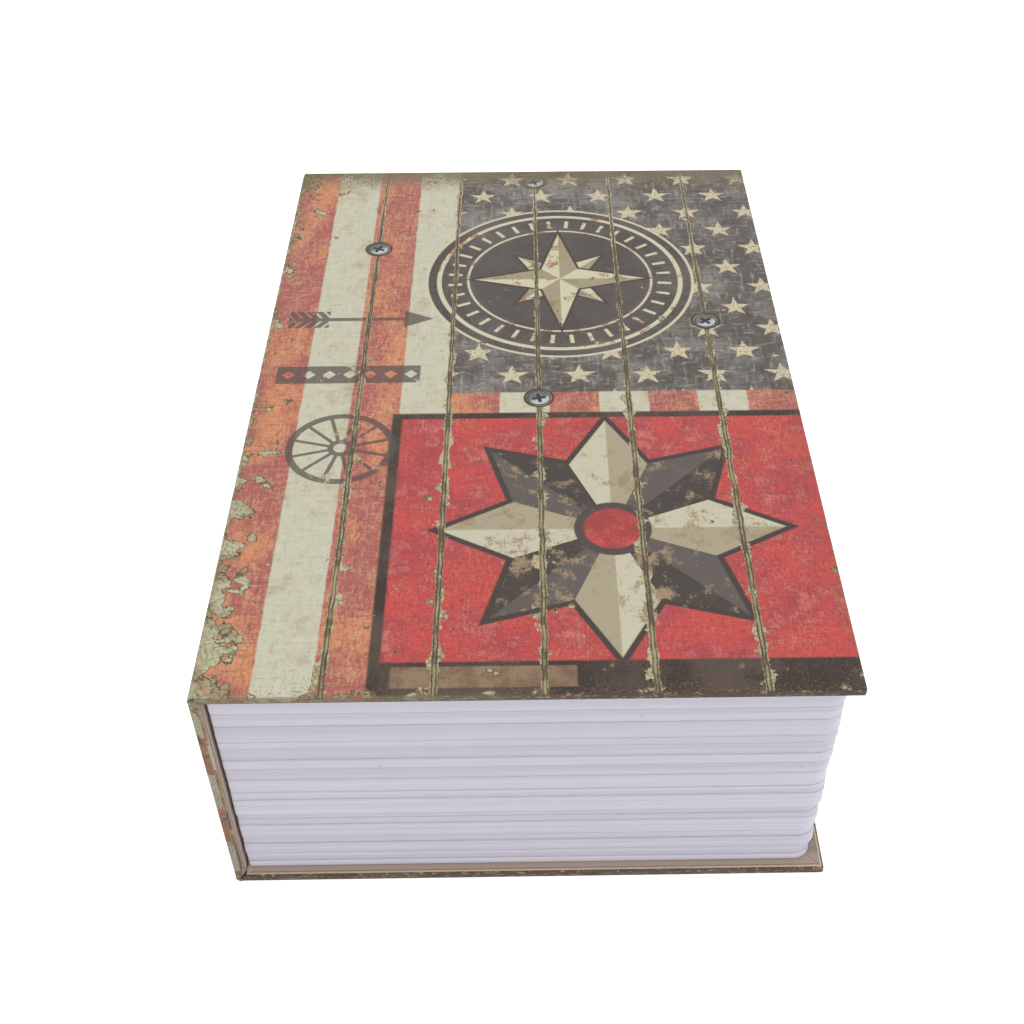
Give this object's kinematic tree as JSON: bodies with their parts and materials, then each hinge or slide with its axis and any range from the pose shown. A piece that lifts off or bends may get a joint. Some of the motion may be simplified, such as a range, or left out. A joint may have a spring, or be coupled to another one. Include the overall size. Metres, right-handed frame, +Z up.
{
  "type": "book diversion safe",
  "caption": "Hard-cover book with a moulded page block that hides a hinged steel lock box with a cam lock.",
  "frame": {"origin": "centre of the closed book's footprint, on the surface that it lies on", "axes": "+X from the spine to the fore edge, +Y from the tail edge to the head edge, +Z up from the back cover to the front cover"},
  "size_m": [0.115, 0.18, 0.055],
  "materials": {
    "printed_cover_paper": "satin printed paper with a linen emboss over grey board",
    "greyboard": "raw grey board",
    "lining_paper": "matt taupe endpaper",
    "page_plastic": "moulded, page-edge lines",
    "base_plastic": "moulded, plain",
    "box_paint": "black powder coat on pressed steel",
    "zinc_steel": "bright zinc plate",
    "lock_chrome": "polished"
  },
  "bodies": {
    "safe_body": {"back_board": "greyboard", "back_cover_paper": "printed_cover_paper", "back_endpaper": "lining_paper", "page_block": "page_plastic", "base_plate": "base_plastic", "base_screw_1": "zinc_steel", "base_screw_2": "zinc_steel", "base_screw_3": "zinc_steel", "base_screw_4": "zinc_steel", "lock_box": "box_paint", "box_screw_1": "zinc_steel", "box_screw_2": "zinc_steel", "box_screw_3": "zinc_steel", "box_screw_4": "zinc_steel", "strike_bracket": "zinc_steel", "hinge_rod": "zinc_steel"},
    "spine": {"spine_board": "greyboard", "spine_cover_paper": "printed_cover_paper", "spine_lining": "lining_paper"},
    "front_cover": {"front_board": "greyboard", "front_cover_paper": "printed_cover_paper", "front_endpaper": "lining_paper"},
    "lid": {"lid": "box_paint", "lock_body": "lock_chrome", "lock_nut": "zinc_steel"},
    "lock_plug": {"lock_plug": "lock_chrome", "lock_cam": "zinc_steel", "cam_screw": "zinc_steel"}
  },
  "joints": [
    {"name": "spine_fold", "type": "hinge", "parent": "safe_body", "child": "spine", "pos_m": [-0.05725, 0, 0.00025], "axis": [0, -1, 0], "range_deg": [0, 90]},
    {"name": "cover_hinge", "type": "hinge", "parent": "spine", "child": "front_cover", "pos_m": [-0.05725, 0, 0.05475], "axis": [0, -1, 0], "range_deg": [0, 90]},
    {"name": "lid_hinge", "type": "hinge", "parent": "safe_body", "child": "lid", "pos_m": [-0.0462, 0, 0.0483], "axis": [0, -1, 0], "range_deg": [0, 90]},
    {"name": "lock_turn", "type": "hinge", "parent": "lid", "child": "lock_plug", "pos_m": [0.03025, 0, 0.05], "axis": [0, 0, 1], "range_deg": [0, 90]}
  ],
  "couplings": [
    {"joint": "lid_hinge", "follows": "cover_hinge", "ratio": 1}
  ]
}
